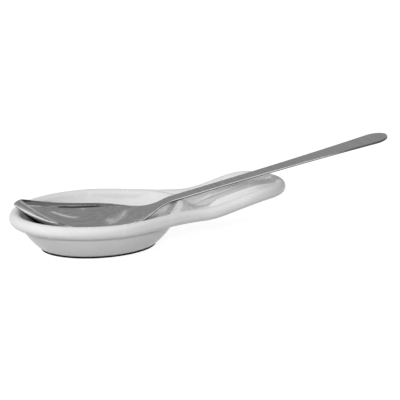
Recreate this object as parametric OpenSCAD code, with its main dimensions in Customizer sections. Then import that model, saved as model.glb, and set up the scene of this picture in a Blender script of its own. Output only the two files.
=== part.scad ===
// Spoon rest with a serving spoon lying in it.
// X runs along the rest towards its handle and Z is up.
// The origin is the middle of the foot, on the table.

/* [Bowl] */
// Length of the bowl over its rim
bowl_l = 148; // [130:1:170]
// Width of the bowl over its rim
bowl_w = 116; // [104:1:132]
// Height of the rim's top round the bowl
rim_h = 32.4; // [29:0.2:40]
// Thickness of the rolled rim
rim_d = 10.4; // [8:0.2:12]
// Thickness of the bowl's wall at the rim
wall = 4; // [3:0.2:5]
// Thickness of the bowl's floor
floor_t = 4; // [3.4:0.2:6]
// Length of the base
base_l = 96.4; // [84:0.4:108]
// Width of the base
base_w = 69.6; // [60:0.4:80]
// How far the floor's round corner reaches in from the base's edge
corner_r = 10; // [6:0.5:14]

/* [Handle] */
// Reach of the handle's tip from the middle of the bowl
handle_reach = 162; // [150:1:190]
// Width of the handle over its rim
handle_w = 70; // [60:1:80]
// Length of the handle's round end
handle_end = 44; // [36:1:52]
// Distance from the middle of the bowl to the end of the neck
neck_x = 83; // [76:1:96]
// Rise of the handle above the bowl's rim
handle_rise = 12.2; // [6:0.2:16]
// Distance from the middle of the bowl to the start of the rise
rise_x = 80; // [70:1:90]
// Length over which the handle rises
rise_l = 60; // [45:1:70]
// Depth of the tray's floor below the rim's top
tray_depth = 6.8; // [5.6:0.2:7.6]
// Depth of the tray's floor at the handle's tip
tray_lip = 2.6; // [1.6:0.2:3.6]
// Length over which the tray gets shallow towards the tip
tray_run = 56; // [40:1:66]
// Thickness of the tray's floor
tray_t = 3.2; // [2.4:0.2:4]

/* [Dam] */
// Height of the dam's peak above the bowl's rim
dam_h = 1.6; // [1:0.2:4]
// Drop of the dam's ends below the rim's top
dam_drop = 0.6; // [0.2:0.2:2]
// Thickness of the dam, which parts the bowl from the tray
dam_t = 6; // [4:0.5:8]
// How far the dam's face stands inside the rim's middle line
dam_in = 1; // [0.5:0.1:2]
// Length of the slope from the dam to the tray's floor
dam_slope = 14; // [8:1:18]

/* [Relief] */
// Number of flutes along the tray's floor
flutes = 5; // [3:2:7]
// Height of the flutes
flute_h = 4.6; // [2:0.2:5.4]
// Distance from the middle of the bowl to the tip of the middle flute
flute_x = 79; // [74:1:90]
// How much further along each flute starts than the one inside it
flute_step = 9; // [0:0.5:12]
// Length over which a flute rises and widens at its tip
flute_tip = 14; // [6:1:18]

/* [Foot ring] */
// Width of the rubber ring
ring_w = 6; // [4:0.5:9]
// Height of the ring that shows below the base
ring_show = 1.3; // [1:0.1:3]
// Depth of the groove that holds the ring
ring_seat = 1; // [0.6:0.1:1.6]
// Distance of the ring in from the base's edge
ring_inset = 0.6; // [0.4:0.1:3]
// Clearance at each side of the ring in its groove
ring_gap = 0.1; // [0.05:0.05:0.3]

/* [Spoon] */
// Length of the spoon's bowl from its tip to its widest place
nose_l = 52; // [45:0.5:58]
// Length from the widest place to the neck
shoulder_l = 68; // [60:1:80]
// Length of the spoon's handle from the neck to its round end
shank_l = 187; // [140:1:220]
// Length of the handle's round end
shank_end = 13; // [9:0.5:18]
// Width of the spoon's bowl
spoon_w = 78; // [68:1:84]
// Depth of the spoon's bowl
spoon_depth = 17; // [10:0.5:17.5]
// Thickness of the steel sheet
gauge = 1.6; // [1.2:0.1:2.4]
// Width of the neck
shank_w = 11.6; // [9:0.2:15]
// Width of the handle near its round end
shank_end_w = 24.4; // [18:0.2:30]
// Height of the spoon's tip above the edge of its bowl
tip_rise = 20; // [15:0.2:22]
// Depth of the upright front of the spoon's tip
tip_front = 7; // [4:0.2:8]
// Forward lean of the spoon's tip, in degrees
tip_lean = 12; // [5:1:30]
// Distance from the widest place to the lowest place of the edge
dip_x = 29; // [15:1:34]
// Height of the neck above the edge of the spoon's bowl
neck_rise = 8.1; // [5:0.1:14]
// How far before the neck the bend up to the handle starts
bend_back = 26; // [22:1:32]
// Length of the bend up to the handle
bend_l = 34; // [26:1:44]
// Climb of the spoon's handle, in degrees
climb = 11.7; // [8:0.1:16]
// Place of the spoon's widest line along the rest
spoon_x = -13; // [-18:0.5:-8]
// Clearance between the spoon and what it lies on
seat_gap = 0.3; // [0.1:0.1:0.6]

/* [Hidden] */

// Middle line of the rolled rim
rim_r = rim_d / 2;
oval_a = bowl_l / 2 - rim_r;
oval_b = bowl_w / 2 - rim_r;
handle_b = handle_w / 2 - rim_r;
tip_x = handle_reach - rim_r;
end_a = handle_end - rim_r;
end_x = tip_x - end_a;
rim_mid = rim_h - rim_r;

// Levels of the bowl and of the dam between its ends and its peak
base_z = ring_show;
floor_z = base_z + floor_t;
dam_z = rim_h + dam_h;
dam_end_z = rim_h - dam_drop;

// Mesh steps
oval_n = 72;
rim_n = 14;
neck_n = 18;
side_n = 8;
turn_step = 6;
end_step = 7.5;
wall_n = 8;
tray_n = 38;
tray_m = 16;
flute_m = 5;
section_n = 14;
nose_n = 14;
shoulder_n = 16;
shank_n = 10;
round_step = 12;
seat_pitch = 1.5;
seat_step = 10;
halvings = 10;
tiny = 0.1;

function lerp(p, q, t) = p + (q - p) * t;
function smooth(t) = t <= 0 ? 0 : t >= 1 ? 1 : t * t * (3 - 2 * t);
function ellipse(t) = sqrt(max(0, 1 - t * t));

// Half the width between the rim's middle lines, at a place along the rest
function half_w(x) =
    x <= 0 ? oval_b * ellipse(x / oval_a)
    : x <= neck_x ? lerp(oval_b, handle_b, smooth(x / neck_x))
    : x <= end_x ? handle_b
    : handle_b * ellipse((x - end_x) / end_a);

// Height of the rim's middle line
function rim_z(x) = rim_mid + handle_rise * smooth((x - rise_x) / rise_l);

// The rim's middle line from the bowl's far end to the handle's tip
rim_half = concat(
    [for (q = [180:-turn_step:90 + turn_step]) [oval_a * cos(q), oval_b * sin(q)]],
    [for (x = [0:neck_x / neck_n:neck_x - tiny]) [x, half_w(x)]],
    [for (x = [neck_x:(end_x - neck_x) / side_n:end_x - tiny]) [x, half_w(x)]],
    [for (q = [90:-end_step:0]) [end_x + end_a * cos(q), handle_b * sin(q)]]
);
rim_path = concat(
    rim_half,
    [for (k = [len(rim_half) - 2:-1:1]) [rim_half[k].x, -rim_half[k].y]]
);

// Faces between rings of points, each a closed loop of the same length
function quad(p, q, r, s) = [[p, q, r], [p, r, s]];
function band_faces(n, i, j) = [
    for (k = [0:n - 1])
        each quad(i * n + k, i * n + (k + 1) % n, j * n + (k + 1) % n, j * n + k)
];
// A cap joins each point of a ring to the one across from it
function cap_faces(n, i) = [
    for (k = [0:n / 2 - 2])
        each quad(i * n + k, i * n + k + 1, i * n + n - 2 - k, i * n + n - 1 - k)
];
function flipped(faces) = [for (f = faces) [f[2], f[1], f[0]]];

module loft(rings) {
    n = len(rings[0]);
    last = len(rings) - 1;
    polyhedron(
        [for (r = rings) each r],
        concat(
            [for (i = [0:last - 1]) each band_faces(n, i, i + 1)],
            flipped(cap_faces(n, 0)),
            cap_faces(n, last)
        )
    );
}

module loop_loft(rings) {
    n = len(rings[0]);
    count = len(rings);
    polyhedron(
        [for (r = rings) each r],
        [for (i = [0:count - 1]) each band_faces(n, i, (i + 1) % count)]
    );
}

// The rolled rim, a round bead swept along its middle line
function rim_ring(i) =
    let (
        n = len(rim_path),
        p = rim_path[i],
        ahead = rim_path[(i + 1) % n],
        behind = rim_path[(i + n - 1) % n],
        run = (ahead - behind) / norm(ahead - behind),
        out = [-run.y, run.x]
    )
    [
        for (k = [0:rim_n - 1])
            let (q = -360 * k / rim_n, reach = rim_r * cos(q))
            [p.x + out.x * reach, p.y + out.y * reach, rim_z(p.x) + rim_r * sin(q)]
    ];

module rolled_rim() {
    loop_loft([for (i = [0:len(rim_path) - 1]) rim_ring(i)]);
}

// The angle on the bowl's oval at which the handle's rim leaves it
leave_q = max([for (q = [5:75]) if (oval_b * sin(q) <= half_w(oval_a * cos(q))) q]);
// Degrees by which the dam passes that angle, and over which it fades
dam_past = 12;
dam_fade = 26;

// Share of the dam at an angle on the oval: 1 across the handle, 0 elsewhere
function turn_of(q) = q > 180 ? 360 - q : q;
function dam_share(q) = smooth((leave_q + dam_past - turn_of(q)) / dam_fade);
// Share of the dam's peak, which is highest in the middle
function dam_top(q) = lerp(dam_end_z, dam_z, smooth(1 - turn_of(q) / leave_q));
// Height above the rim's middle line at which the inner face runs into the rolled rim
meet_share = 0.6;
rim_meet = meet_share * sqrt(max(0, rim_r * rim_r - wall * wall));
function wall_top(q) = lerp(rim_mid + rim_meet, dam_top(q), dam_share(q));

// The wall's profile, from its foot at 0 to its rim at 1: part straight, part curved
outer_straight = 0.55;
inner_straight = 0.3;
function outer_rise(f) = lerp(f * f, f, outer_straight);
function inner_rise(f) = lerp(f * f, f, inner_straight);

// Rounding of the dam's crest, and where its flat top starts and ends
crest_r = dam_t / 4;
crest_out = 0.8;
crest_in = 0.6;

oval_q = [for (k = [oval_n - 1:-1:0]) 360 * (k + 0.5) / oval_n];
// How far the wall's two faces lie outside the rim's middle line
function outer_grow(q) = lerp(0, dam_t - dam_in, dam_share(q));
function inner_grow(q) = lerp(-wall, -dam_in, dam_share(q));
function crest_grow(q, across) = lerp(-wall, outer_grow(q), across);
// Tops of the two faces, below the crest of the dam
function outer_top(q) = lerp(rim_mid, dam_top(q), dam_share(q)) - crest_r;
function inner_top(q) = wall_top(q) - crest_r * dam_share(q);

function outer_ring(f) = [
    for (q = oval_q) [
        lerp(base_l / 2, oval_a + outer_grow(q), f) * cos(q),
        lerp(base_w / 2, oval_b + outer_grow(q), f) * sin(q),
        lerp(base_z, outer_top(q), outer_rise(f))
    ]
];
function crest_ring(across) = [
    for (q = oval_q)
        let (grow = crest_grow(q, across))
        [(oval_a + grow) * cos(q), (oval_b + grow) * sin(q), wall_top(q)]
];
function inner_ring(f) = [
    for (q = oval_q) [
        lerp(base_l / 2 - corner_r, oval_a + inner_grow(q), f) * cos(q),
        lerp(base_w / 2 - corner_r, oval_b + inner_grow(q), f) * sin(q),
        lerp(floor_z, inner_top(q), inner_rise(f))
    ]
];

module bowl() {
    loft(concat(
        [for (i = [0:wall_n]) outer_ring(i / wall_n)],
        [crest_ring(crest_out), crest_ring(crest_in)],
        [for (i = [wall_n:-1:0]) inner_ring(i / wall_n)]
    ));
}

// Share of the tray's depth that is left at a place along it
function tray_share(x) = smooth((tip_x - x) / tray_run);

// Height of the flutes above the tray's floor, at a share of its half width
flute_pitch = flute_m / tray_m;
// Share of its width that a flute starts with
flute_point = 0.3;
function flute(x, share) =
    let (
        k = round(abs(share) / flute_pitch),
        across = (abs(share) - k * flute_pitch) / (flute_pitch / 2),
        start = smooth((x - flute_x - k * flute_step) / flute_tip),
        spread = lerp(flute_point, 1, start),
        arch = (1 + cos(180 * min(1, abs(across) / spread))) / 2
    )
    k > (flutes - 1) / 2 ? 0 : flute_h * start * tray_share(x) * arch;

// The tray's floor runs from the dam to the rim at the handle's tip
function tray_floor(x) = rim_z(x) + rim_r - lerp(tray_lip, tray_depth, tray_share(x));
// Share of the dam's height that the tray's floor reaches up to
dam_climb = 0.9;
// How far the floor's end stops short of the rim's middle line
tray_stop = 0.3;
// Share of closer steps towards the handle's tip
tray_ease = 0.35;
// Angles on the oval against shares of the tray's half width there
dam_shares = [for (q = [0:leave_q]) [min(1, oval_b * sin(q) / half_w(oval_a * cos(q))), q]];
function tray_point(s, j, top) =
    let (
        share = j / tray_m,
        q = lookup(abs(share), dam_shares),
        x0 = oval_a * cos(q),
        x = lerp(x0, tip_x - tray_stop, s),
        y = share * half_w(x),
        fall = max(0, 1 - (x - x0) / dam_slope),
        foot = tray_floor(x),
        crest = lerp(foot, dam_top(q) - crest_r, dam_climb * fall * fall)
    )
    [x, y, top ? max(foot + flute(x, share), crest) : foot - tray_t];

function tray_ring(i) =
    let (t = i / tray_n, s = lerp(t, sin(90 * t), tray_ease))
    concat(
        [for (j = [-tray_m:tray_m]) tray_point(s, j, true)],
        [for (j = [tray_m:-1:-tray_m]) tray_point(s, j, false)]
    );

module tray() {
    loft([for (i = [0:tray_n]) tray_ring(i)]);
}

// Outline of an oval, set in from the base's edge
function base_outline(inset) = [
    for (q = oval_q) [(base_l / 2 - inset) * cos(q), (base_w / 2 - inset) * sin(q)]
];

module ring_band(gap, low) {
    translate([0, 0, low])
        linear_extrude(base_z + ring_seat - low)
            difference() {
                polygon(base_outline(ring_inset - gap));
                polygon(base_outline(ring_inset + ring_w + gap));
            }
}

// The dish is one moulded piece: bowl, rolled rim, handle tray and dam
module dish() {
    color("whitesmoke")
        difference() {
            union() {
                bowl();
                tray();
                rolled_rim();
            }
            ring_band(ring_gap, base_z - tiny);
        }
}

// The rubber ring is pressed into the groove under the base
module foot_ring() {
    color("black")
        ring_band(0, 0);
}

// The spoon, along its own length from its widest place
bend_x = shoulder_l - bend_back;
half_spoon = spoon_w / 2;
half_neck = shank_w / 2;
shank_x = shoulder_l + shank_l;
// Powers that shape its curves
nose_curve = 0.75;
shoulder_curve = 1.5;
shank_curve = 2.6;
tip_curve = 2.7;
front_curve = 1.4;
hollow_curve = 2.2;
lean_curve = 1.2;

// Half the spoon's width
function shoulder_half(t) = lerp(half_spoon, half_neck, smooth(pow(t, shoulder_curve)));
function shank_half(t) = lerp(half_neck, shank_end_w / 2, pow(min(1, t), shank_curve));
function spoon_half(x) =
    x <= 0 ? half_spoon * pow(1 - pow(x / nose_l, 2), nose_curve)
    : x <= shoulder_l ? shoulder_half(x / shoulder_l)
    : shank_half((x - shoulder_l) / shank_l) * ellipse(max(0, x - shank_x) / shank_end);

// Height of the spoon's edge
function handle_line(x) = neck_rise + tan(climb) * (x - shoulder_l);
function edge_z(x) =
    x <= dip_x ? tip_rise * pow((dip_x - x) / (dip_x + nose_l), tip_curve)
    : handle_line(x) * smooth((x - bend_x) / bend_l);
function edge_slope(x) = atan((edge_z(x + tiny) - edge_z(x - tiny)) / (2 * tiny));

// Depth of the spoon's back below its edge
function back_depth(x) =
    x <= 0 ? lerp(tip_front, spoon_depth + gauge, pow(1 - pow(x / nose_l, 2), front_curve))
    : x >= shoulder_l ? gauge
    : gauge + spoon_depth * pow((spoon_half(x) - half_neck) / (half_spoon - half_neck), hollow_curve);

// The depth is measured square to the edge, and leans forward at the tip
function back_turn(x) = edge_slope(x) - tip_lean * pow(max(0, -x / nose_l), lean_curve);

// Squareness of the section: round in the bowl, flat in the handle
bowl_square = 2.2;
handle_square = 5;
function section_power(x) = 2 / lerp(bowl_square, handle_square, smooth((x - bend_x) / bend_l));
function section_point(x, q, inset) =
    let (
        turn = back_turn(x),
        power = section_power(x),
        depth = max(0, back_depth(x) - inset) * pow(abs(cos(q)), power),
        y = (spoon_half(x) - inset) * sign(sin(q)) * pow(abs(sin(q)), power)
    )
    [x + depth * sin(turn), y, edge_z(x) - depth * cos(turn)];

function spoon_ring(x) =
    let (inset = min(gauge, spoon_half(x) / 2))
    concat(
        [for (k = [0:section_n]) section_point(x, lerp(90, -90, k / section_n), 0)],
        [for (k = [0:section_n]) section_point(x, lerp(-90, 90, k / section_n), inset)]
    );
// The nose starts a few degrees round its oval, so that its front isn't a point
nose_q = 4;
spoon_stations = concat(
    [for (k = [0:nose_n - 1]) -nose_l * cos(lerp(nose_q, 90, k / nose_n))],
    [for (k = [0:shoulder_n - 1]) shoulder_l * k / shoulder_n],
    [for (k = [0:shank_n - 1]) shoulder_l + shank_l * k / shank_n],
    [for (q = [0:round_step:90 - tiny]) shank_x + shank_end * sin(q)]
);

// Height of the rest's top at a place on its near half, as the spoon meets it from above
function line_gap(p, a, b) =
    let (run = b - a, t = max(0, min(1, (p - a) * run / (run * run))))
    norm(p - a - run * t);
function bead_top(p) =
    let (gap = min([for (k = [1:len(rim_half) - 1]) line_gap(p, rim_half[k - 1], rim_half[k])]))
    gap < rim_r ? rim_z(p.x) + rim_r * ellipse(gap / rim_r) : 0;
function inside(p, a, b) = pow(p.x / a, 2) + pow(p.y / b, 2) < 1;
// Share of the wall's flare at a place in the bowl, found by halving
function flare_at(p, grow, low, high, steps) =
    let (f = (low + high) / 2)
    steps == 0 ? f
    : inside(p, lerp(base_l / 2 - corner_r, oval_a + grow, f), lerp(base_w / 2 - corner_r, oval_b + grow, f))
    ? flare_at(p, grow, low, f, steps - 1)
    : flare_at(p, grow, f, high, steps - 1);
function hollow_top(p, q) =
    lerp(floor_z, inner_top(q), inner_rise(flare_at(p, inner_grow(q), 0, 1, halvings)));
function tray_top(p, q) =
    let (
        foot = tray_floor(p.x),
        fall = max(0, 1 - (p.x - oval_a * cos(q)) / dam_slope),
        crest = lerp(foot, dam_top(q), dam_climb * fall * fall)
    )
    max(crest, foot + flute(p.x, p.y / half_w(p.x)));
function rest_top(p) =
    let (q = atan2(p.y / oval_b, p.x / oval_a))
    max(
        bead_top(p),
        inside(p, oval_a + inner_grow(q), oval_b + inner_grow(q)) ? hollow_top(p, q)
        : inside(p, oval_a + outer_grow(q), oval_b + outer_grow(q)) ? wall_top(q)
        : p.x > 0 && p.x < tip_x && p.y < half_w(p.x) ? tray_top(p, q)
        : 0
    );

// The spoon comes down until its back meets the rest
spoon_z = seat_gap + max([
    for (x = [spoon_stations[0]:seat_pitch:handle_reach - spoon_x], q = [0:seat_step:90])
        let (p = section_point(x, q, 0))
        rest_top([p.x + spoon_x, p.y]) - p.z
]);

// The spoon is stamped from one sheet of steel
module spoon() {
    color("silver")
        translate([spoon_x, 0, spoon_z])
            loft([for (x = spoon_stations) spoon_ring(x)]);
}

dish();
foot_ring();
spoon();
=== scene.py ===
import math

import bmesh
import bpy
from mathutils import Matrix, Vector


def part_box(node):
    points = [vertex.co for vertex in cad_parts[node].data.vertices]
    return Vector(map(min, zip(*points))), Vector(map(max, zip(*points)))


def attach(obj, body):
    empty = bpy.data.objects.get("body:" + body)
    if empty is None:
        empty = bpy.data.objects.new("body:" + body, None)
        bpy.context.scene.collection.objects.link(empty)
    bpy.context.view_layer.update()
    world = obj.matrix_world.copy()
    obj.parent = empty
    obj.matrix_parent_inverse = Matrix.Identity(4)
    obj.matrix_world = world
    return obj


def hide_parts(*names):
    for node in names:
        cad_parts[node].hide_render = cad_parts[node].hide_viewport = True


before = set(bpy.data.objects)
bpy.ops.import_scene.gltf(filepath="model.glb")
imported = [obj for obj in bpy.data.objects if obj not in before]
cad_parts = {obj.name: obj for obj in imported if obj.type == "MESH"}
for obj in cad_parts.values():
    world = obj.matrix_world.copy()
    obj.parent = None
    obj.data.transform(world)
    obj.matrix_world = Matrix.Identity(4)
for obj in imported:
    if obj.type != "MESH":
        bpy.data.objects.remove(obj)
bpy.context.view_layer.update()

# The dish is one glazed moulding: an oval bowl, a handle with a shallow tray, and a dam between them.
# A rolled rim runs round both. Clay is pressed over a mould and glazed white, which rounds every edge.
mm = 0.001
dish_low, dish_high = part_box("dish")

# The rim, and its middle line round the bowl, the neck and the handle's round end
rim_r = 5.2 * mm
rim_top = 32.4 * mm
rim_mid = rim_top - rim_r
oval_a = -dish_low[0] - rim_r
oval_b = dish_high[1] - rim_r
neck_x = 83 * mm
handle_b = 29.8 * mm
handle_end = 38.8 * mm
tip_x = dish_high[0] - rim_r
end_x = tip_x - handle_end
rise_x = 80 * mm
rise_l = 60 * mm
handle_rise = dish_high[2] - rim_top

# The bowl's foot with its groove, the wall and the hollow
base_z = dish_low[2]
base_a = 48.2 * mm
base_b = 34.8 * mm
ring_inset = 0.6 * mm
ring_w = 6 * mm
ring_seat = 1 * mm
groove_gap = 0.1 * mm
wall = 4.5 * mm
wall_straight = 0.55
floor_z = base_z + 4 * mm
floor_inset = 10 * mm
bowl_straight = 0.3
rim_meet = 2.5 * mm

# The dam between the bowl and the tray
dam_top_z = rim_top + 1.6 * mm
dam_end_z = rim_top - 0.6 * mm
dam_in = 1 * mm
dam_out = 5 * mm
dam_slope = 14 * mm
leave_angle = 48
dam_past = 12
dam_fade = 26

# The tray and its flutes
tray_depth = 6.8 * mm
tray_lip = 2.6 * mm
tray_run = 56 * mm
tray_t = 3.2 * mm
under_blend = 1.5 * mm
flute_count = 5
flute_pitch = 0.3125
flute_h = 4.6 * mm
flute_x = 79 * mm
flute_step = 9 * mm
flute_tip = 14 * mm
flute_point = 0.3
relief_blend = 1 * mm

# The round corner where the rim's bead meets what lies inside it
bead_drop = 6
fillet_bowl = 0.8 * mm
fillet_tray = 3 * mm
fillet_x = 50 * mm
fillet_l = 25 * mm
weld = 0.01 * mm


def lerp(a, b, t):
    return a + (b - a) * t


def smooth(t):
    t = min(1, max(0, t))
    return t * t * (3 - 2 * t)


def ellipse(t):
    return math.sqrt(max(0, 1 - t * t))


def soft_max(a, b, reach):
    # The larger of two heights, with the corner between them rounded off
    h = max(reach - abs(a - b), 0) / reach
    return max(a, b) + h * h * reach / 4


def soft_min(a, b, reach):
    return -soft_max(-a, -b, reach)


def half_width(x):
    # Half of the width between the rim's two middle lines
    if x <= 0:
        return oval_b * ellipse(x / oval_a)
    if x <= neck_x:
        return lerp(oval_b, handle_b, smooth(x / neck_x))
    if x <= end_x:
        return handle_b
    return handle_b * ellipse((x - end_x) / handle_end)


def rim_z(x):
    # Height of the rim's middle line, which climbs along the handle
    return rim_mid + handle_rise * smooth((x - rise_x) / rise_l)


def even_outline(steps):
    # The rim's middle line, from the bowl's far end round the handle's tip and back, in even steps
    fine = 400
    turns = [math.pi * (1 - 0.5 * k / fine) for k in range(fine)]
    half = [Vector((oval_a * math.cos(q), oval_b * math.sin(q))) for q in turns]
    half += [Vector((end_x * k / fine, half_width(end_x * k / fine))) for k in range(fine)]
    turns = [0.5 * math.pi * (1 - k / fine) for k in range(fine + 1)]
    half += [Vector((end_x + handle_end * math.cos(q), handle_b * math.sin(q))) for q in turns]
    gone = [0]
    for a, b in zip(half, half[1:]):
        gone.append(gone[-1] + (b - a).length)
    even = []
    k = 0
    for i in range(steps + 1):
        want = gone[-1] * i / steps
        while k < len(gone) - 2 and gone[k + 1] < want:
            k += 1
        even.append(half[k].lerp(half[k + 1], (want - gone[k]) / (gone[k + 1] - gone[k])))
    even[0].y = 0
    even[-1].y = 0
    return even + [Vector((p.x, -p.y)) for p in even[-2:0:-1]]


def flare(x, y, low, high, most=1.0):
    # Share of the way out from the low oval to the high one at which a place lies, found by halving
    near, far = 0.0, most
    halvings = 16
    for _ in range(halvings):
        f = (near + far) / 2
        a, b = lerp(low[0], high[0], f), lerp(low[1], high[1], f)
        if (x / a) ** 2 + (y / b) ** 2 < 1:
            far = f
        else:
            near = f
    return (near + far) / 2


def dam_top(turn):
    # Height of the dam's crest, which falls towards its two ends
    return lerp(dam_end_z, dam_top_z, smooth(1 - turn / leave_angle))


def tray_share(x):
    # Share of the tray's depth that is left at a place along it
    return smooth((tip_x - x) / tray_run)


def tray_floor(x):
    return rim_z(x) + rim_r - lerp(tray_lip, tray_depth, tray_share(x))


def flute(x, share):
    # Height of the flutes over the tray's floor, at a share of its half width
    k = round(abs(share) / flute_pitch)
    if k > (flute_count - 1) / 2:
        return 0
    across = (abs(share) - k * flute_pitch) / (flute_pitch / 2)
    start = smooth((x - flute_x - k * flute_step) / flute_tip)
    spread = min(1, abs(across) / lerp(flute_point, 1, start))
    return flute_h * start * tray_share(x) * (1 + math.cos(math.pi * spread)) / 2


def top_height(x, y):
    # Height of the bowl's hollow, the dam and the tray's floor
    turn = abs(math.degrees(math.atan2(y / oval_b, x / oval_a)))
    dam = smooth((leave_angle + dam_past - turn) / dam_fade)
    grow = lerp(-wall, -dam_in, dam)
    share = math.hypot(x / oval_a, y / oval_b)
    beyond = (share - 1) * math.hypot(x, y) / max(share, 0.01)
    wall_z = lerp(rim_mid + rim_meet, dam_top(turn), dam)
    if x < 0 or beyond < -dam_in:
        low = (base_a - floor_inset, base_b - floor_inset)
        f = flare(x, y, low, (oval_a + grow, oval_b + grow))
        return lerp(floor_z, wall_z, lerp(f * f, f, bowl_straight))
    foot = tray_floor(x)
    fall = max(0, 1 - max(0, beyond - dam_out / 2) / dam_slope)
    crest = lerp(foot, dam_top(turn), fall * fall)
    relief = foot + flute(x, y / max(half_width(x), mm))
    return soft_max(crest, relief, relief_blend)


def under_height(x, y):
    # Height of the bowl's outer wall and of the handle's underside
    past_rim = 6.0
    f = flare(x, y, (base_a, base_b), (oval_a, oval_b), past_rim)
    outer = lerp(base_z, rim_mid, lerp(f * f, f, wall_straight))
    return soft_min(outer, tray_floor(x) - tray_t, under_blend)


def extrude_ring(bm, ring, points):
    # Extrudes a closed ring of vertices and lays the new ring on these points
    edges = [bm.edges.get((a, b)) for a, b in zip(ring, ring[1:] + ring[:1])]
    made = bmesh.ops.extrude_edge_only(bm, edges=edges)["geom"]
    fresh = {v for v in made if isinstance(v, bmesh.types.BMVert)}
    new_ring = []
    for v, p in zip(ring, points):
        w = next(e.other_vert(v) for e in v.link_edges if e.other_vert(v) in fresh)
        w.co = p
        new_ring.append(w)
    return new_ring


def loft(rings, marks=None):
    # A skin over rings of points, which starts from a circle and is extruded ring by ring
    # Marks are named values, one for each point of a ring, and become attributes of the mesh
    marks = marks or {}
    bm = bmesh.new()
    layers = {name: bm.verts.layers.float.new(name) for name in marks}
    ring = bmesh.ops.create_circle(bm, radius=1, segments=len(rings[0]))["verts"]
    for v, p in zip(ring, rings[0]):
        v.co = p
    rows = [ring]
    for points in rings[1:]:
        rows.append(extrude_ring(bm, rows[-1], points))
    for name, layer in layers.items():
        for row in rows:
            for v, value in zip(row, marks[name]):
                v[layer] = value
    bmesh.ops.remove_doubles(bm, verts=bm.verts, dist=weld)
    bmesh.ops.recalc_face_normals(bm, faces=bm.faces)
    return bm


def make_piece(name, bm, sharp_angle):
    # Makes an object at the origin, smooth but for edges that fold by more than the angle
    for face in bm.faces:
        face.smooth = True
    for edge in bm.edges:
        edge.smooth = edge.calc_face_angle(0) < math.radians(sharp_angle)
    mesh = bpy.data.meshes.new(name)
    bm.to_mesh(mesh)
    bm.free()
    piece = bpy.data.objects.new(name, mesh)
    bpy.context.scene.collection.objects.link(piece)
    return piece


half_steps = 200
outline = even_outline(half_steps)
inward = []
for k, p in enumerate(outline):
    run = outline[(k + 1) % len(outline)] - outline[k - 1]
    inward.append(Vector((run.y, -run.x)).normalized())
turns = [math.atan2(p.y / oval_b, p.x / oval_a) for p in outline]


def bead_ring(angle):
    # A ring on the rim's round bead, at an angle up from its outer side
    q = math.radians(angle)
    return [
        (p.x - n.x * rim_r * math.cos(q), p.y - n.y * rim_r * math.cos(q), rim_z(p.x) + rim_r * math.sin(q))
        for p, n in zip(outline, inward)
    ]


def base_ring(inset, z):
    # An oval ring inside the edge of the bowl's foot
    return [((base_a - inset) * math.cos(q), (base_b - inset) * math.sin(q), z) for q in turns]


def wall_ring(t):
    # A ring on the underside, on the way from the foot to the bead
    ring = []
    for p, n, q in zip(outline, inward, turns):
        x = lerp(base_a * math.cos(q), p.x + n.x * join_in, t)
        y = lerp(base_b * math.sin(q), p.y + n.y * join_in, t)
        ring.append((x, y, under_height(x, y)))
    return ring


def offset_ring(inset):
    # A ring where the bead runs into the hollow, the dam and the tray
    ring = []
    for p, n in zip(outline, inward):
        x, y = p.x + n.x * inset, p.y + n.y * inset
        bead = rim_z(p.x) + rim_r * ellipse(min(1, inset / rim_r)) - bead_drop * max(0, inset - rim_r)
        fillet = lerp(fillet_bowl, fillet_tray, smooth((p.x - fillet_x) / fillet_l))
        ring.append((x, y, soft_max(top_height(x, y), bead, fillet)))
    return ring


def spine_ring(t):
    # A ring that closes in on the middle line of the bowl and the tray
    ring = []
    for p, n in zip(outline, inward):
        start = p + n * skirt
        end_share = (p.x + oval_a) / (tip_x + oval_a)
        x = lerp(start.x, lerp(spine_low, spine_high, end_share), t)
        y = lerp(start.y, 0, t)
        ring.append((x, y, top_height(x, y)))
    return ring


join_angle = -107
join_in = -rim_r * math.cos(math.radians(join_angle))
skirt = 8.6 * mm
spine_low = -40 * mm
spine_high = 140 * mm
groove_in = ring_inset - groove_gap
groove_far = ring_inset + ring_w + groove_gap
base_chamfer = 0.3 * mm
base_land = 0.2 * mm
wall_steps = 16
bead_step = 12
bead_last = 145
spine_steps = 40
fillet_insets = [inset * mm for inset in (4.6, 4.9, 5.2, 5.5, 5.9, 6.5, 7.4)]
centre_line = [((base_a - base_b) * math.cos(q), 0, base_z) for q in turns]

dish_rings = [centre_line]
dish_rings += [base_ring(groove_far, base_z), base_ring(groove_far, base_z + ring_seat)]
dish_rings += [base_ring(groove_in, base_z + ring_seat), base_ring(groove_in, base_z)]
dish_rings += [base_ring(base_chamfer, base_z), base_ring(0, base_z + base_land)]
dish_rings += [wall_ring(k / wall_steps) for k in range(1, wall_steps)]
dish_rings += [bead_ring(angle) for angle in range(join_angle, bead_last + 1, bead_step)]
dish_rings += [offset_ring(inset) for inset in fillet_insets]
dish_rings += [spine_ring(k / spine_steps) for k in range(spine_steps + 1)]
dish = make_piece("dish_glazed", loft(dish_rings), sharp_angle=50)
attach(dish, "rest")
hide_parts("dish")


def new_material(name, piece):
    # A material of the piece with its nodes, its links and its Principled shader
    material = bpy.data.materials.new(name)
    material.use_nodes = True
    piece.data.materials.append(material)
    nodes = material.node_tree.nodes
    return nodes, material.node_tree.links, nodes["Principled BSDF"]


def add_place(nodes):
    # The piece's own coordinates, to hang textures on
    return nodes.new("ShaderNodeTexCoord").outputs["Object"]


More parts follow.
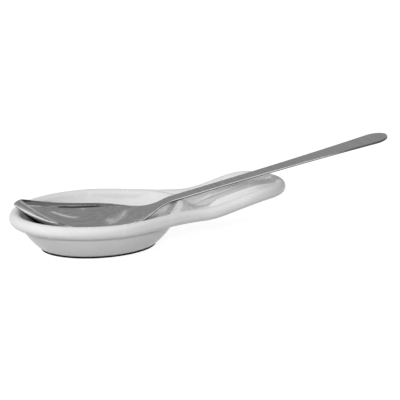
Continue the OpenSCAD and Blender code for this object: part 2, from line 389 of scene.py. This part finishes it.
def make_grain_group():
    # A grain of so many waves a metre along each axis, for all the materials
    group = bpy.data.node_groups.new("grain", "ShaderNodeTree")
    group.interface.new_socket("Place", in_out="INPUT", socket_type="NodeSocketVector")
    group.interface.new_socket("Waves", in_out="INPUT", socket_type="NodeSocketVector")
    group.interface.new_socket("Turn", in_out="INPUT", socket_type="NodeSocketVector")
    group.interface.new_socket("Detail", in_out="INPUT", socket_type="NodeSocketFloat")
    group.interface.new_socket("Grain", in_out="OUTPUT", socket_type="NodeSocketFloat")
    given = group.nodes.new("NodeGroupInput")
    made = group.nodes.new("NodeGroupOutput")
    mapping = group.nodes.new("ShaderNodeMapping")
    noise = group.nodes.new("ShaderNodeTexNoise")
    noise.inputs["Scale"].default_value = 1
    group.links.new(given.outputs["Place"], mapping.inputs["Vector"])
    group.links.new(given.outputs["Waves"], mapping.inputs["Scale"])
    group.links.new(given.outputs["Turn"], mapping.inputs["Rotation"])
    group.links.new(mapping.outputs["Vector"], noise.inputs["Vector"])
    group.links.new(given.outputs["Detail"], noise.inputs["Detail"])
    group.links.new(noise.outputs["Fac"], made.inputs["Grain"])
    return group


def add_grain(nodes, links, place, waves, detail, turn=0):
    # Places the grain group with its own values
    node = nodes.new("ShaderNodeGroup")
    node.node_tree = grain_group
    node.inputs["Waves"].default_value = waves
    node.inputs["Turn"].default_value = (0, 0, turn)
    node.inputs["Detail"].default_value = detail
    links.new(place, node.inputs["Place"])
    return node.outputs["Grain"]


def add_range(nodes, links, value, low, high, start=0.3, end=0.7):
    # Spreads a value between start and end over a new range
    spread = nodes.new("ShaderNodeMapRange")
    spread.inputs["From Min"].default_value = start
    spread.inputs["From Max"].default_value = end
    spread.inputs["To Min"].default_value = low
    spread.inputs["To Max"].default_value = high
    links.new(value, spread.inputs["Value"])
    return spread.outputs["Result"]


def add_bump(nodes, links, shader, height, depth, strength):
    # Lets a height stand proud of the surface
    bump = nodes.new("ShaderNodeBump")
    bump.inputs["Distance"].default_value = depth
    bump.inputs["Strength"].default_value = strength
    links.new(height, bump.inputs["Height"])
    links.new(bump.outputs["Normal"], shader.inputs["Normal"])


grain_group = make_grain_group()
nodes, links, shader = new_material("white_glaze", dish)
place = add_place(nodes)
pool = add_grain(nodes, links, place, waves=(55, 55, 55), detail=3)
peel = add_grain(nodes, links, place, waves=(420, 420, 420), detail=2)
links.new(add_range(nodes, links, pool, low=0.86, high=0.9), shader.inputs["Base Color"])
links.new(add_range(nodes, links, pool, low=0.2, high=0.3), shader.inputs["Roughness"])
add_bump(nodes, links, shader, peel, depth=0.1 * mm, strength=0.12)

# The foot ring is a moulded rubber band, pressed into the groove under the bowl.
# It shows as a thin black line below the bowl's edge and keeps the dish from sliding.
seat_gap = 0.05 * mm
ring_top = base_z + ring_seat - seat_gap
ring_lip = 0.5 * mm
lip_h = 1 * mm
lip_slope = 0.2 * mm
ring_edge = 0.1 * mm
ring_steps = 160
ring_profile = [
    (-ring_lip, 0), (-ring_lip, lip_h), (0, lip_h + lip_slope), (0, ring_top),
    (ring_w, ring_top), (ring_w, ring_edge), (ring_w - ring_edge, 0), (-ring_lip, 0),
]
ring_turns = [2 * math.pi * k / ring_steps for k in range(ring_steps)]
foot_rings = []
for inset, z in ring_profile:
    a, b = base_a - ring_inset - inset, base_b - ring_inset - inset
    foot_rings.append([(a * math.cos(q), b * math.sin(q), z) for q in ring_turns])
foot = make_piece("foot_ring_rubber", loft(foot_rings), sharp_angle=50)
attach(foot, "rest")
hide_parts("foot_ring")

nodes, links, shader = new_material("black_rubber", foot)
place = add_place(nodes)
bloom = add_grain(nodes, links, place, waves=(180, 180, 180), detail=3)
pores = add_grain(nodes, links, place, waves=(1400, 1400, 1400), detail=2)
links.new(add_range(nodes, links, bloom, low=0.002, high=0.005), shader.inputs["Base Color"])
links.new(add_range(nodes, links, bloom, low=0.55, high=0.75), shader.inputs["Roughness"])
shader.inputs["Specular IOR Level"].default_value = 0.1
add_bump(nodes, links, shader, pores, depth=0.1 * mm, strength=0.3)

# The spoon is stamped from one sheet of steel: a wide bowl with a raised tip, and a long handle.
# It lies loose in the dish: its neck rests on the dam and its tip stands over the rim.
spoon_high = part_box("spoon")[1]
gauge = 1.6 * mm

# Its outline from above: the nose, the shoulder, the neck and the shank with a round end
nose_l = 52 * mm
nose_curve = 0.75
half_bowl = spoon_high[1]
shoulder_l = 68 * mm
shoulder_curve = 1.5
half_neck = 5.8 * mm
shank_l = 187 * mm
shank_curve = 2.6
shank_x = shoulder_l + shank_l
shank_end = 13 * mm
half_end = 12.2 * mm

# The line of its edge: a raised tip, a dip, the neck's bend and the climbing handle
tip_rise = 20 * mm
tip_curve = 2.7
dip_x = 29 * mm
bend_back = 26 * mm
bend_x = shoulder_l - bend_back
bend_l = 34 * mm
neck_rise = 8.1 * mm
climb_angle = 11.7
climb = math.tan(math.radians(climb_angle))
end_angle = 84
spoon_x = -13 * mm
spoon_z = spoon_high[2] - neck_rise - climb * (shank_l + shank_end * math.sin(math.radians(end_angle)))

# The depth of its back, and how its front leans and swells
spoon_depth = 17 * mm
nose_deep = 1.4
neck_deep = 2.2
bowl_round = 2.2
shank_round = 5
tip_front = 7 * mm
tip_lean = 12
lean_curve = 1.2
front_round = 2 * mm
front_curve = 6

# The bevels of the sheet's edge, in shares of its gauge
edge_bevel = 0.1
edge_lean = 0.08
edge_low = 0.56
line_high = 0.62
line_low = 0.95

# How finely its skin is laid out, and how far on it closes at both ends
section_steps = 40
lip_points = 4
nose_angle = 2
nose_steps = 44
shoulder_steps = 52
shank_steps = 60
end_steps = 14
nose_close = 0.2 * mm
end_close = 0.3 * mm

# Where painted shade darkens its steel
down_from = 0.3
down_fade = 0.12
line_x = 20 * mm
line_fade = 20 * mm
end_dark = 0.9
end_dark_l = 50 * mm
end_fade = 30 * mm


def spoon_half(x):
    # Half of the spoon's width at a place along it
    if x <= 0:
        return half_bowl * max(0, 1 - (x / nose_l) ** 2) ** nose_curve
    if x <= shoulder_l:
        return lerp(half_bowl, half_neck, smooth((x / shoulder_l) ** shoulder_curve))
    shank = lerp(half_neck, half_end, min(1, (x - shoulder_l) / shank_l) ** shank_curve)
    return shank * ellipse(max(0, x - shank_x) / shank_end)


def edge_z(x):
    # Height of the spoon's edge over its lowest place
    if x <= dip_x:
        return tip_rise * ((dip_x - x) / (dip_x + nose_l)) ** tip_curve
    return (neck_rise + climb * (x - shoulder_l)) * smooth((x - bend_x) / bend_l)


def back_depth(x):
    # How far the spoon's back lies below its edge
    if x <= 0:
        return lerp(tip_front, spoon_depth + gauge, max(0, 1 - (x / nose_l) ** 2) ** nose_deep)
    if x >= shoulder_l:
        return gauge
    return gauge + spoon_depth * ((spoon_half(x) - half_neck) / (half_bowl - half_neck)) ** neck_deep


def spoon_ring(x):
    # A closed section: the back, the near edge, the hollow and the far edge
    step = 0.1 * mm
    turn = math.atan((edge_z(x + step) - edge_z(x - step)) / (2 * step))
    turn -= math.radians(tip_lean) * max(0, -x / nose_l) ** lean_curve
    power = 2 / lerp(bowl_round, shank_round, smooth((x - bend_x) / bend_l))
    half = spoon_half(x)
    inset = min(gauge, half / 2)
    bevel = inset * edge_bevel
    deep = back_depth(x)
    back, hollow = [], []
    for k in range(section_steps + 1):
        q = math.pi * (k / section_steps - 0.5)
        lift = max(0, math.cos(q)) ** power
        wide = math.copysign(abs(math.sin(q)) ** power, q)
        back.append((half * wide, lerp(inset * line_low, deep, lift)))
        hollow.append(((half - inset) * wide, lerp(0, max(0, deep - inset), lift)))
    land = half - inset * edge_lean
    lip = [(half, inset * line_high), (half, inset * edge_low), (land, bevel), (land - bevel, 0)]
    loop = back + lip + hollow[::-1] + [(-y, depth) for y, depth in lip[::-1]]
    bulge = front_round * max(0, -x / nose_l) ** front_curve
    ring = []
    for y, depth in loop:
        t = depth / deep
        along = x + depth * math.sin(turn) - bulge * 4 * t * (1 - t)
        ring.append(Vector((spoon_x + along, y, spoon_z + edge_z(x) - depth * math.cos(turn))))
    return ring


def close_ring(ring, reach):
    # Folds a section onto its own middle line, a little further on
    n = len(ring)
    half_n = section_steps + 1
    hollow_start = half_n + lip_points
    across = list(range(hollow_start + section_steps, hollow_start - 1, -1))
    folded = [None] * n
    for k in range(half_n):
        middle = (ring[k] + ring[across[k]]) / 2 + reach
        folded[k] = middle
        folded[across[k]] = middle
    for k in range(lip_points):
        folded[half_n + k] = folded[half_n - 1]
        folded[n - 1 - k] = folded[0]
    return folded


nose_turns = [math.radians(lerp(nose_angle, 90, k / nose_steps)) for k in range(nose_steps)]
end_turns = [math.radians(end_angle * k / end_steps) for k in range(end_steps + 1)]
stations = [-nose_l * math.cos(q) for q in nose_turns]
stations += [shoulder_l * k / shoulder_steps for k in range(shoulder_steps)]
stations += [shoulder_l + shank_l * k / shank_steps for k in range(shank_steps)]
stations += [shank_x + shank_end * math.sin(q) for q in end_turns]
spoon_rings = [spoon_ring(x) for x in stations]
spoon_rings.insert(0, close_ring(spoon_rings[0], Vector((-nose_close, 0, 0))))
spoon_rings.append(close_ring(spoon_rings[-1], Vector((end_close, 0, 0))))

# Each lip's two middle points are the face of the sheet's edge, and the points below them its lower line,
# where a dark line of painted shade goes
last = len(spoon_rings[0]) - 1
edge_points = (section_steps + 2, section_steps + 3, last - 2, last - 1)
shade_line_points = (0, section_steps, section_steps + 1, last)
marks = {
    "edge": [float(k in edge_points) for k in range(last + 1)],
    "painted_shade": [float(k in shade_line_points) for k in range(last + 1)],
}
spoon = make_piece("spoon_steel", loft(spoon_rings, marks), sharp_angle=25)

# Painted shade: the steel is darkened where it faces down, along the edge's lower line and on the edge of
# the handle's end
edge, painted_shade_marks = spoon.data.attributes["edge"], spoon.data.attributes["painted_shade"]
for v in spoon.data.vertices:
    station = v.co.x - spoon_x
    turned = smooth((-v.normal.z - down_from) / down_fade)
    line = painted_shade_marks.data[v.index].value * smooth((station - line_x) / line_fade)
    end = edge.data[v.index].value * smooth((station - shank_x + end_dark_l) / end_fade)
    painted_shade_marks.data[v.index].value = max(turned, line, end_dark * end)
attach(spoon, "spoon")
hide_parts("spoon")


def add_mix(nodes, links, share, low, high):
    # Blends two values, or one value and a plain number, by a share
    mix = nodes.new("ShaderNodeMix")
    links.new(share, mix.inputs["Factor"])
    for value, name in ((low, "A"), (high, "B")):
        if isinstance(value, float):
            mix.inputs[name].default_value = value
        else:
            links.new(value, mix.inputs[name])
    return mix.outputs["Result"]


def add_attribute(nodes, name):
    # A value that the mesh carries for each of its points
    attribute = nodes.new("ShaderNodeAttribute")
    attribute.attribute_name = name
    return attribute.outputs["Fac"]


# The sheet's edge is polished; on the bowl its tone is raised near white as a painted highlight, on the
# handle it stays near the steel's tone
bowl_edge_highlight_tone = 0.95
handle_edge_tone = 0.58
# A near-black tone for the painted shade on the spoon
painted_shade_tone = 0.06
bowl_satin = 0.17
edge_satin = 0.14
brush_turn = math.radians(-35)
handle_start = 40 * mm
handle_full = 70 * mm

nodes, links, shader = new_material("brushed_steel", spoon)
place = add_place(nodes)
across = add_grain(nodes, links, place, waves=(900, 20, 900), detail=2, turn=brush_turn)
along = add_grain(nodes, links, place, waves=(16, 700, 700), detail=2)
part = nodes.new("ShaderNodeSeparateXYZ")
links.new(place, part.inputs[0])
handle_share = add_range(nodes, links, part.outputs["X"], 0, 1, handle_start, handle_full)
grain = add_mix(nodes, links, handle_share, along, across)

rim_share, painted_shade_share = add_attribute(nodes, "edge"), add_attribute(nodes, "painted_shade")
# The edge's tone carries the painted highlight on the bowl
edge_tone = add_mix(nodes, links, handle_share, bowl_edge_highlight_tone, handle_edge_tone)
sheet_tone = add_range(nodes, links, grain, low=0.54, high=0.68)
tone = add_mix(nodes, links, rim_share, sheet_tone, edge_tone)
handle_satin = add_range(nodes, links, across, low=0.16, high=0.24)
satin = add_mix(nodes, links, handle_share, bowl_satin, handle_satin)
rough = add_mix(nodes, links, rim_share, satin, edge_satin)
# Painted shade: the marked places take the near-black tone
links.new(add_mix(nodes, links, painted_shade_share, tone, painted_shade_tone), shader.inputs["Base Color"])
links.new(rough, shader.inputs["Roughness"])
shader.inputs["Metallic"].default_value = 1
add_bump(nodes, links, shader, grain, depth=0.02 * mm, strength=0.2)

# The floor is a plain white sheet of paper, which keeps the soft shadow of the dish.
# It looks white to the camera and in reflections, and gives little light itself.
paper_half = 30
paper_tone = 0.28
glow_low = 0.08
glow_seen = 0.87
floor_bm = bmesh.new()
bmesh.ops.create_grid(floor_bm, x_segments=1, y_segments=1, size=paper_half)
floor = make_piece("floor", floor_bm, sharp_angle=30)


def add_larger(nodes, links, a, b):
    # The larger of two values
    larger = nodes.new("ShaderNodeMath")
    larger.operation = "MAXIMUM"
    links.new(a, larger.inputs[0])
    links.new(b, larger.inputs[1])
    return larger.outputs[0]


nodes, links, shader = new_material("white_paper", floor)
shader.inputs["Base Color"].default_value = (paper_tone, paper_tone, paper_tone, 1)
shader.inputs["Roughness"].default_value = 0.9
shader.inputs["Specular IOR Level"].default_value = 0
rays = nodes.new("ShaderNodeLightPath").outputs
seen = add_larger(nodes, links, rays["Is Camera Ray"], rays["Is Glossy Ray"])
seen = add_larger(nodes, links, seen, rays["Is Transmission Ray"])
glow = nodes.new("ShaderNodeEmission")
links.new(add_range(nodes, links, seen, glow_low, glow_seen, start=0, end=1), glow.inputs["Strength"])
blend = nodes.new("ShaderNodeAddShader")
links.new(shader.outputs[0], blend.inputs[0])
links.new(glow.outputs[0], blend.inputs[1])
links.new(blend.outputs[0], nodes["Material Output"].inputs["Surface"])

# The studio is a plain grey room with three soft boxes: one at the left, one in front and one behind.
# Cards around the rest show only in reflections and give the steel its streaks.
world = bpy.data.worlds.new("studio")
world.use_nodes = True
bpy.context.scene.world = world
room = world.node_tree.nodes["Background"]
room.inputs["Color"].default_value = (1, 1, 1, 1)
room.inputs["Strength"].default_value = 0.36
lit_point = Vector((0.02, 0, 0.02))


def add_softbox(name, place, size, power):
    # A square lamp that is turned towards the rest and isn't seen in reflections
    lamp = bpy.data.lights.new(name, "AREA")
    lamp.shape = "SQUARE"
    lamp.size = size
    lamp.energy = power
    box = bpy.data.objects.new(name, lamp)
    box.location = place
    box.rotation_euler = (lit_point - Vector(place)).to_track_quat("-Z", "Y").to_euler()
    box.visible_glossy = False
    bpy.context.scene.collection.objects.link(box)


add_softbox("left_light", place=(-0.98, 0.04, 0.76), size=0.3, power=4.8)
add_softbox("front_light", place=(-0.37, -1.06, 0.55), size=0.15, power=6)
add_softbox("back_light", place=(0.25, 1.2, 0.34), size=0.4, power=3.8)


def aim_way(turn, tilt):
    # A direction that is turned from +X and tilted up, both in degrees
    turn, tilt = math.radians(turn), math.radians(tilt)
    return Vector((math.cos(tilt) * math.cos(turn), math.cos(tilt) * math.sin(turn), math.sin(tilt)))


def add_card(name, start, end, width, reach, strength):
    # A card that only reflections show, between two directions from the rest
    low, high = aim_way(*start) * reach, aim_way(*end) * reach
    middle = (low + high) / 2
    side = (high - low).cross(middle).normalized() * width / 2
    bm = bmesh.new()
    corners = [bm.verts.new(p) for p in (low - side, low + side, high + side, high - side)]
    bmesh.ops.contextual_create(bm, geom=corners)
    card = make_piece(name, bm, sharp_angle=30)
    card.visible_camera = False
    card.visible_diffuse = False
    card.visible_shadow = False
    card.visible_transmission = False
    nodes, links, _ = new_material(name, card)
    glow = nodes.new("ShaderNodeEmission")
    glow.inputs["Strength"].default_value = strength
    links.new(glow.outputs[0], nodes["Material Output"].inputs["Surface"])


add_card("dark_card", start=(-90, -2), end=(-90, 27), width=2.6, reach=1.3, strength=0.05)
add_card("edge_strip", start=(-72.5, -1), end=(-72.5, 8), width=0.15, reach=1.15, strength=1.4)
add_card("left_low_card", start=(-148, -2), end=(-148, 10), width=1.3, reach=1.2, strength=1.4)
add_card("strip_right", start=(-3, 34), end=(27, 70), width=0.12, reach=1.1, strength=0.95)
add_card("strip_front", start=(-78, 31), end=(-82, 42), width=0.12, reach=1.1, strength=0.85)
add_card("strip_back", start=(107, 48), end=(100, 30), width=0.06, reach=1.1, strength=0.8)
add_card("left_card", start=(180, 15), end=(180, 36), width=0.9, reach=1.3, strength=0.6)

# The camera stands in front of the rest and a little to the left, and looks down on it.
# A long lens from far off keeps the lines almost parallel, as in the picture.
view_turn = math.radians(17.5)
view_tilt = math.radians(16.9)
distance = 1.5
frame_width = 333.2 * mm
sensor = 36
rest_middle = Vector((45 * mm, 0, 14 * mm))
shift_right = 40.8 * mm
shift_up = 19.6 * mm
right = Vector((math.cos(view_turn), -math.sin(view_turn), 0))
level = Vector((math.sin(view_turn), math.cos(view_turn), 0))
ahead = level * math.cos(view_tilt) - Vector((0, 0, math.sin(view_tilt)))
upward = right.cross(ahead)
middle = rest_middle + right * shift_right + upward * shift_up
lens = bpy.data.cameras.new("camera")
lens.sensor_width = sensor
lens.lens = sensor * distance / frame_width
camera = bpy.data.objects.new("camera", lens)
camera.location = middle - ahead * distance
camera.rotation_euler = ahead.to_track_quat("-Z", "Y").to_euler()
bpy.context.scene.collection.objects.link(camera)
bpy.context.scene.camera = camera
bpy.context.scene.view_settings.view_transform = "Standard"
